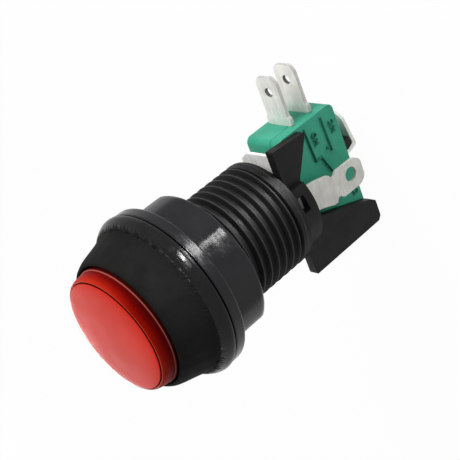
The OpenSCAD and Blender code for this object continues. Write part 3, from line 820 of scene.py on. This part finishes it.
def cap_finish():
    """Clear red plastic over a white diffuser. Distance from the axis parts the pale
    face, the groove, dark as painted shade, the bright corner, the wall and the
    foot, dark as painted shade, with its bead, a painted highlight line. The wall
    goes through four reds up its height, which noise shifts; they darken towards
    the foot, partly as the deeper red of thicker plastic and partly as painted
    shade where the wall sits in the bezel. It is darker in two zones, towards
    CAP_SHADE and opposite, as painted shade: there its height is lowered by the
    fifth power of the cosine of the angle from CAP_SHADE."""
    m = Finish("translucent red plastic")
    away = m.axis_distance()
    toward = m.add("VectorMath", "Value", {0: m.at, 1: CAP_SHADE},
                   operation="DOT_PRODUCT")
    turn = m.maths("ABSOLUTE", m.maths("DIVIDE", toward, away))
    shade_zone = m.maths("POWER", turn, 5.0)
    haze = m.noise(260.0, 4.0)
    height = m.shifted(m.shifted(m.height(), haze, 0.0009), shade_zone, -0.0011)
    wall = m.ramp(m.rise(height, 0.0098, 0.0141), CAP_WALL)
    foot = m.blend(m.rise(m.height(), 0.0107, 0.01076), CAP_FOOT_SHADE, CAP_BEAD_HIGHLIGHT)
    colour = m.cloudy(look().cap_colour, 0.07, 90.0, 3.0, 0.5, 0.7)
    for start, tone in zip(CAP_STEPS, (CAP_GROOVE_SHADE, CAP_CORNER, wall, foot)):
        colour = m.blend(m.rise(away, start, start + CAP_STEP), colour, tone)
    m.bump(m.noise(180.0, 2.0), 0.005)
    return m.surface(colour, m.spread(haze, 0.36, 0.5), 0.022)


# --- holder

class PUSHBUTTON_OT_holder(bpy.types.Operator):
    """Build the holder with its two wings, side block and lamp socket"""
    bl_idname = "pushbutton.holder"
    bl_label = "Holder"

    def execute(self, context):
        softened("holder", "holder_frame", look().edge_round / MM,
                 moulded("matte black plastic", (0.0085, 0.0088, 0.0082), (0.45, 0.6),
                         0.25, 0.14, (1300.0, 0.02), 150.0))
        return {"FINISHED"}


# --- switch

SEAM = 0.2
SEAM_CORNER = 1.45
GREEN_LOOK = ((0.4, 0.55), 0.12, 0.2, (1200.0, 0.02), 170.0)
BARS = ([(13.5, -39.9), (5.95, -40.3), (6.0, -41.98), (1.62, -43.55)],
        [(13.4, -44.94), (5.67, -45.16)])
DOT = (6.8, -44.2)
WORDS = (((10.28, -41.87), "NO"), ((10.3, -47.1), "NC"), ((-5.65, -47.3), "C"))
LETTER = np.array([1.0, 1.15])
LETTER_PITCH = 1.55
# half widths of the strokes
BAR_HALF, DOT_HALF, N_HALF, O_HALF = 0.23, 0.16, 0.13, 0.15


class PUSHBUTTON_OT_switch(bpy.types.Operator):
    """Build the snap switch's case and cover with the raised contact marks"""
    bl_idname = "pushbutton.switch"
    bl_label = "Snap switch"

    def execute(self, context):
        width = look().edge_round / MM
        colour = look().switch_colour
        green = moulded("green moulded plastic", colour, *GREEN_LOOK)
        softened("switch_case", "switch_shell", width * 1.3, green,
                 shape=lambda bm: cut_back(bm, CASE_HIGH[0]))
        softened("switch_cover", "switch_lid", width * 1.1, green,
                 shape=lambda bm: cut_back(bm, COVER_LOW[0]))
        points, faces = contact_marks(look().mark_height / MM)
        points[:, 2] += COVER_HIGH[0]
        # the marks' green at half strength is painted shade on the raised strokes
        mesh_piece("contact_marks", points[:, [2, 0, 1]], faces, "base", (),
                   moulded("green marks darkened as painted shade", np.array(colour) * 0.5,
                           *GREEN_LOOK), 50)
        return {"FINISHED"}


def cut_back(bm, plane):
    """Chamfers the outer edges that lie in the plane x = plane (mm)."""
    ends = np.array([v.co[:] for v in bm.verts]) / MM
    low, high = ends.min(0)[1:], ends.max(0)[1:]

    def outer(v):
        # in the plane, and on an edge of it or at one of its corners
        yz = np.array(v.co[1:]) / MM
        away = np.minimum(yz - low, high - yz)
        return abs(v.co.x / MM - plane) < 0.01 and (
            away.min() < 0.02 or away.max() < SEAM_CORNER)

    edges = [e for e in bm.edges if len(e.link_faces) == 2
             and outer(e.verts[0]) and outer(e.verts[1])
             and e.calc_face_angle() > 0.6]
    bmesh.ops.bevel(bm, geom=edges, offset=SEAM * MM, segments=1,
                    affect="EDGES", clamp_overlap=False)


def contact_marks(height):
    """Raised contact diagram and letters on the cover, in its (y, z) plane:
    two bars, one with a step and a slant, a dot at the open contact, NO and NC
    beside the blades' bars and C by the common terminal. O is an ellipse and C
    the same ellipse open by a quarter."""
    bow = np.linspace(0.8, TAU - 0.8, 16)
    letter_c = np.stack([0.55 + 0.5 * np.cos(bow), 0.5 + 0.5 * np.sin(bow)], -1)
    letter_n = np.array([[(0, 0), (0, 1)], [(0.03, 1), (0.97, 0)],
                         [(1, 0), (1, 1)]])
    parts = [ridge(bar, BAR_HALF, height) for bar in BARS]
    parts.append(ridge(ring(DOT, 0.17, 20), DOT_HALF, height, True))
    for middle, word in WORDS:
        for k, letter in enumerate(word):
            corner = np.array(middle) - LETTER / 2 + [
                (k - (len(word) - 1) / 2) * LETTER_PITCH, 0]
            if letter == "N":
                parts += [ridge(corner + v * LETTER, N_HALF, height)
                          for v in letter_n]
            elif letter == "O":
                parts.append(ridge(corner + ring((0.5, 0.5), 0.5, 20) * LETTER,
                                   O_HALF, height, True))
            else:
                parts.append(ridge(corner + letter_c * LETTER, O_HALF, height))
    return joined(parts)


# --- terminals

SHEET_EDGE = 0.12
SIDE_EYE, SIDE_EYE_R = 3.1, 1.35
TOP_EYE, TOP_EYE_R = (3.1, 2.9), 1.0
HOLE_SHIFT = np.array([0.28, 0.42])
HOLE_GROWTH = 1.13
TIP_ROUND = 0.75
BLADE_SHOULDER = 1.7
BLADE_EYE, BLADE_EYE_R = 3.4, 0.92


class PUSHBUTTON_OT_terminals(bpy.types.Operator):
    """Build the push-on blades, the common terminal and the two lamp tabs"""
    bl_idname = "pushbutton.terminals"
    bl_label = "Terminals"

    def execute(self, context):
        tin = tinned("tinned sheet", look().metal_colour)
        for node in ("blade_no", "blade_nc"):
            low, high = node_box(node)
            outline, hole = blade_outline(low, high)
            points, faces, cut = plate(outline, [hole], low[2], high[2], 0.14)
            mesh_piece(node + "_sheet", points, faces, "base", (node,),
                       tin, 35, {"cut_edge_and_hole_shade": cut})
        softened("terminal_com", "terminal_com_sheet", SHEET_EDGE,
                 tin)
        side = softened("lamp_tab_side", "lamp_tab_side_sheet", SHEET_EDGE,
                        tinned("dull tinned sheet", (0.6, 0.595, 0.56)),
                        shape=tab_tip)
        # the hole wall's near-black material is painted shade
        side.data.materials.append(
            moulded("tab hole wall in painted shade", (0.012, 0.012, 0.011), (0.6, 0.75), 0.3, 0.05))
        # the top tab's tin is a lighter copy of the terminals' tin: painted light that
        # offsets the barrel's shade on it
        softened("lamp_tab_top", "lamp_tab_top_sheet", SHEET_EDGE,
                 tinned("tinned sheet lightened as painted light", (0.95, 0.94, 0.91), metallic=0.1),
                 mend=close_hole)
        return {"FINISHED"}


def hole_rim(bm, axes, eye, radius):
    """Points of a mesh on the rim of a round hole, by their two coordinates in
    its plane."""
    return {v for v in bm.verts if abs(np.hypot(
        *(np.array(v.co)[axes] / MM - eye)) - radius) < 0.035}


def tab_tip(bm):
    """Rounds the corners of the side tab's tip, moves its hole by HOLE_SHIFT
    and enlarges it to the size of the real one, and gives the metal in the hole
    the second material, near-black as painted shade."""
    yz = np.array([v.co[1:] for v in bm.verts]) / MM
    end = yz[:, 1].min()
    middle = yz[yz[:, 1] < end + 0.05, 0].mean()
    eye = np.array([middle, end + SIDE_EYE])
    rim = hole_rim(bm, [1, 2], eye, SIDE_EYE_R)
    for v in rim:
        place = eye + HOLE_SHIFT + (np.array(v.co[1:]) / MM - eye) * HOLE_GROWTH
        v.co.y, v.co.z = (place * MM).tolist()
    for f in bm.faces:
        f.material_index = int(all(v in rim for v in f.verts))
    corners = [e for e in bm.edges if len(e.link_faces) == 2
               and abs(e.verts[0].co.x - e.verts[1].co.x) > 0.6 * MM
               and max(v.co.z for v in e.verts) / MM < end + 1.9
               and e.calc_face_angle() > 0.4]
    bmesh.ops.bevel(bm, geom=corners, offset=TIP_ROUND * MM, segments=5,
                    affect="EDGES", clamp_overlap=False, profile=0.5)


def close_hole(bm):
    """Fills the round hole of the top tab, which the real one doesn't have."""
    reach = min(v.co.x for v in bm.verts) / MM
    side = max(v.co.y for v in bm.verts) / MM
    eye = np.array([reach + TOP_EYE[0], side - TOP_EYE[1]])
    rim = hole_rim(bm, [0, 1], eye, TOP_EYE_R)
    wall = [f for f in bm.faces if all(v in rim for v in f.verts)]
    bmesh.ops.delete(bm, geom=wall, context="FACES")
    bmesh.ops.holes_fill(bm, edges=[e for e in bm.edges if e.is_boundary], sides=0)


def blade_outline(low, high):
    """Outline of a push-on blade in (x, y), from its root inside the switch
    over its shoulders to its chamfered tip, and the round hole near the tip."""
    middle = (low[0] + high[0]) / 2
    half = (high[0] - low[0]) / 2
    blade = half - 0.5
    face, tip, root = CASE_HIGH[1], high[1], low[1]
    right = [[blade, root], [blade, face], [half, face + 0.02],
             [half, face + BLADE_SHOULDER],
             [blade, face + BLADE_SHOULDER + 0.35],
             [blade, tip - 1.3], [blade - 1.05, tip]]
    loop = np.array(right + [[-x, y] for x, y in right[::-1]])
    loop[:, 0] += middle
    radii = [0.1, 0.05, 0.15, 0.3, 0.3, 0.6, 0.5]
    outline = refine(round_path(loop, radii + radii[::-1], 5), 1.2)
    return outline, ring([middle, tip - BLADE_EYE], BLADE_EYE_R, 36)


# --- inner parts

SILVER = (0.7, 0.69, 0.66)
WIRE_R = 0.35
SPRING_TURNS = 7
TURN_STEPS = 48
WIRE_SIDES = 10


class PUSHBUTTON_OT_inner(bpy.types.Operator):
    """Finish the inner CAD pieces, and wind the spring that the button presses"""
    bl_idname = "pushbutton.inner"
    bl_label = "Inner pieces"

    def execute(self, context):
        white = moulded("white plastic", (0.78, 0.77, 0.73), (0.38, 0.5), 0.06)
        finishes = {
            "diffuser": white, "plunger": white,
            "switch_pin": moulded("ivory plastic", (0.66, 0.63, 0.54), (0.35, 0.5)),
            "rocker": tinned("spring brass", (0.6, 0.42, 0.2)),
            "moving_contact": tinned("contact silver", SILVER),
            "contact_no": tinned("contact silver fixed", SILVER),
            "contact_nc": tinned("contact silver rear", SILVER),
            "lamp_filament": tinned("filament wire", (0.3, 0.29, 0.27)),
            # a black block at the common terminal's root
            "com_seal": moulded("black block at the common terminal's root", (0.01, 0.01, 0.01),
                                (0.5, 0.7), 0.3),
            "lamp_base": moulded("lamp base plastic", (0.7, 0.69, 0.65),
                                 (0.35, 0.5), 0.08),
            "lamp_glass": glass_finish(),
        }
        for node, finish in finishes.items():
            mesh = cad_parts[node].data
            mesh.materials.clear()
            mesh.materials.append(finish)
        low, high = node_box("return_spring")
        points, faces = coil(low[2], high[2], high[0] - WIRE_R)
        spring = mesh_piece("return_coil", points, faces, "base",
                            ("return_spring",),
                            tinned("spring steel", (0.5, 0.5, 0.5)))
        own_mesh(spring)
        return {"FINISHED"}


def coil(low, high, radius):
    """Round wire wound on a cylinder between two heights. The point at angle t
    along and b around is ((R + w cos b) cos t, (R + w cos b) sin t, h + w sin b)
    with the height h growing with t, and a fan closes each end."""
    wire, around = WIRE_R, WIRE_SIDES
    count = SPRING_TURNS * TURN_STEPS + 1
    t = np.linspace(0, SPRING_TURNS * TAU, count)[:, None]
    b = angles(around)
    h = np.linspace(low + wire, high - wire, count)[:, None]
    r = radius + wire * np.cos(b)
    points = np.stack([r * np.cos(t), r * np.sin(t), h + wire * np.sin(b)],
                      -1).reshape(-1, 3)
    ends = np.array([[radius, 0, h[0, 0]], [radius, 0, h[-1, 0]]])
    k = np.arange(around)
    k2 = (k + 1) % around
    last = (count - 1) * around
    tip = np.full(around, count * around)
    fans = np.concatenate([np.stack([k, k2, tip], -1),
                           np.stack([last + k2, last + k, tip + 1], -1)])
    return np.concatenate([points, ends]), grid_faces(count, around) + fans.tolist()


def glass_finish():
    """Clear lamp glass with faint streaks."""
    m = Finish("lamp glass")
    tint = m.noise(120.0)
    m.bump(m.noise(200.0), 0.01)
    return m.surface(m.ramp(tint, [(0.3, (0.93, 0.95, 0.96)),
                                   (0.7, (0.98, 0.99, 1.0))]),
                     m.spread(tint, 0.01, 0.05), clear=0.95)


# --- stage

CAM_RIGHT = np.array([0.653, -0.337, -0.678])
CAM_BACK = np.array([0.743, 0.456, 0.489])
CAM_AT = (0.18071, 0.11322, 0.09998)
CAM_LENS = 96.4
AIM = np.array([0.0, 0.0, -0.018])
SURROUND = 0.26
FLOOR_GLOW = 0.97
FLOOR_GREY = (0.9,) * 3
FLOOR_GAP = 0.0002
GLOSSY_PIECES = ("bezel_shell", "barrel_thread", "nut_body")
# name, direction, distance (m), size (m), power (W) and what it does
LAMPS = (
    ("key lamp", (0.5, 0.47, -0.73), 0.34, (0.08, 0.08), 0.38, {"gloss": False}),
    ("rear glint lamp", (0.519, 0.701, -0.49), 0.34, (0.026, 0.1), 2.7,
     {"diffuse": False, "only": GLOSSY_PIECES}),
    ("front glint lamp", (0.55, 0.744, 0.38), 0.34, (0.026, 0.14), 1.9,
     {"diffuse": False, "only": GLOSSY_PIECES}),
    ("top lamp", (-0.05, 0.85, 0.53), 0.45, (0.3, 0.3), 1.95, {"gloss": False}),
    ("front card", (-0.85, -0.52, 0.1), 0.4, (0.12, 0.12), 0.08, {}),
    ("cap sheen lamp", (-0.062, -0.038, 0.037), 0.082, (0.05, 0.012), 0.034,
     {"diffuse": False, "only": ("cap_shell",), "camera": False}),
)


def placed(obj, at, axes):
    """Puts an object at a point, turned to three axes, in the scene."""
    obj.matrix_world = Matrix.Translation(tuple(at)) @ Matrix(
        np.column_stack(axes).tolist()).to_4x4()
    bpy.context.scene.collection.objects.link(obj)


def facing(name, direction, distance, size, power, diffuse=True, gloss=True,
           camera=True, only=()):
    """Lamp of a width and a height at a distance from the object's middle,
    facing it. It lights colour, or shows in gloss, or does both, on every
    piece or only on those that are named, and the camera may see it or not."""
    d = np.array(direction) / np.linalg.norm(direction)
    side = np.cross([0, 0, 1.0], d)
    side /= np.linalg.norm(side)
    data = bpy.data.lights.new(name, "AREA")
    data.shape = "RECTANGLE"
    data.size, data.size_y = size
    data.energy = power
    obj = bpy.data.objects.new(name, data)
    obj.visible_diffuse = diffuse
    obj.visible_glossy = gloss
    obj.visible_camera = camera
    if only:
        lit = bpy.data.collections.new("lit by the " + name)
        for piece in only:
            lit.objects.link(bpy.data.objects[piece])
        obj.light_linking.receiver_collection = lit
    placed(obj, AIM + d * distance, (side, np.cross(d, side), d))


class PUSHBUTTON_OT_stage(bpy.types.Operator):
    """Set the camera, the pale floor, the white surroundings and the lamps"""
    bl_idname = "pushbutton.stage"
    bl_label = "Stage"

    def execute(self, context):
        scene = context.scene
        scene.view_settings.view_transform = "Standard"
        cam = bpy.data.cameras.new("camera")
        cam.lens = CAM_LENS
        cam.sensor_width = 36.0
        cam.clip_start = 0.01
        back = CAM_BACK / np.linalg.norm(CAM_BACK)
        right = CAM_RIGHT - back * (CAM_RIGHT @ back)
        right /= np.linalg.norm(right)
        scene.camera = bpy.data.objects.new("camera", cam)
        placed(scene.camera, CAM_AT, (right, np.cross(back, right), back))

        grid = np.linspace(-2.0, 2.0, 5)
        gx, gy = np.meshgrid(grid, grid)
        points = np.stack([gx, gy, np.full_like(gx, CAD_BOX[0][2] - FLOOR_GAP)], -1)
        mesh = bpy.data.meshes.new("floor")
        mesh.from_pydata(points.reshape(-1, 3).tolist(), [],
                         grid_faces(5, 5, wrap_cols=False))
        floor = bpy.data.objects.new("floor", mesh)
        scene.collection.objects.link(floor)
        mesh.materials.append(floor_finish())
        floor.visible_shadow = False

        scene.world = bpy.data.worlds.new("white surroundings")
        sky = Nodes(scene.world)
        background = sky.nodes["Background"].inputs
        sky.join((1.0, 1.0, 1.0), background["Color"])
        sky.join(sky.spread(sky.seen_ray(), SURROUND, 1.0, 0.0, 1.0),
                 background["Strength"])
        for *lamp, kind in LAMPS:
            facing(*lamp, **kind)
        return {"FINISHED"}


def floor_finish():
    """Pale floor: white to the camera, with a part of its own light and
    shade, and clear from below."""
    m = Finish("pale floor")
    m.surface(FLOOR_GREY, 0.9)
    seen = m.maths("MULTIPLY", m.seen_ray(), FLOOR_GLOW)
    lit = m.add("MixShader", 0, {"Fac": seen, 1: m.shader.outputs[0],
                                 2: m.add("Emission", 0)})
    both = m.add("MixShader", 0, {"Fac": m.add("NewGeometry", "Backfacing"),
                                  1: lit, 2: m.add("BsdfTransparent", 0)})
    m.join(both, m.nodes["Material Output"].inputs["Surface"])
    return m.material


# --- panel

class PUSHBUTTON_PT_panel(bpy.types.Panel):
    """Sidebar panel with the values and one button for each group"""
    bl_idname = "PUSHBUTTON_PT_panel"
    bl_label = "Illuminated Pushbutton"
    bl_space_type = "VIEW_3D"
    bl_region_type = "UI"
    bl_category = "Pushbutton"

    def draw(self, context):
        for name in PushbuttonLook.__annotations__:
            self.layout.prop(look(), name)
        for step in STEPS:
            self.layout.operator(step.bl_idname)


# the stage is last, because its lamps name pieces
STEPS = (PUSHBUTTON_OT_bezel, PUSHBUTTON_OT_barrel, PUSHBUTTON_OT_nut,
         PUSHBUTTON_OT_cap, PUSHBUTTON_OT_holder, PUSHBUTTON_OT_switch,
         PUSHBUTTON_OT_terminals, PUSHBUTTON_OT_inner, PUSHBUTTON_OT_stage)
CLASSES = (PushbuttonLook, *STEPS, PUSHBUTTON_PT_panel)


def register():
    """Adds the classes and the scene's own values."""
    for item in CLASSES:
        bpy.utils.register_class(item)
    bpy.types.Scene.pushbutton_look = bpy.props.PointerProperty(type=PushbuttonLook)


def unregister():
    """Takes the classes and the scene's own values away."""
    del bpy.types.Scene.pushbutton_look
    for item in reversed(CLASSES):
        bpy.utils.unregister_class(item)


def main():
    """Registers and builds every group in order."""
    register()
    for step in STEPS:
        group, name = step.bl_idname.split(".")
        getattr(getattr(bpy.ops, group), name)()


if __name__ == "__main__":
    main()
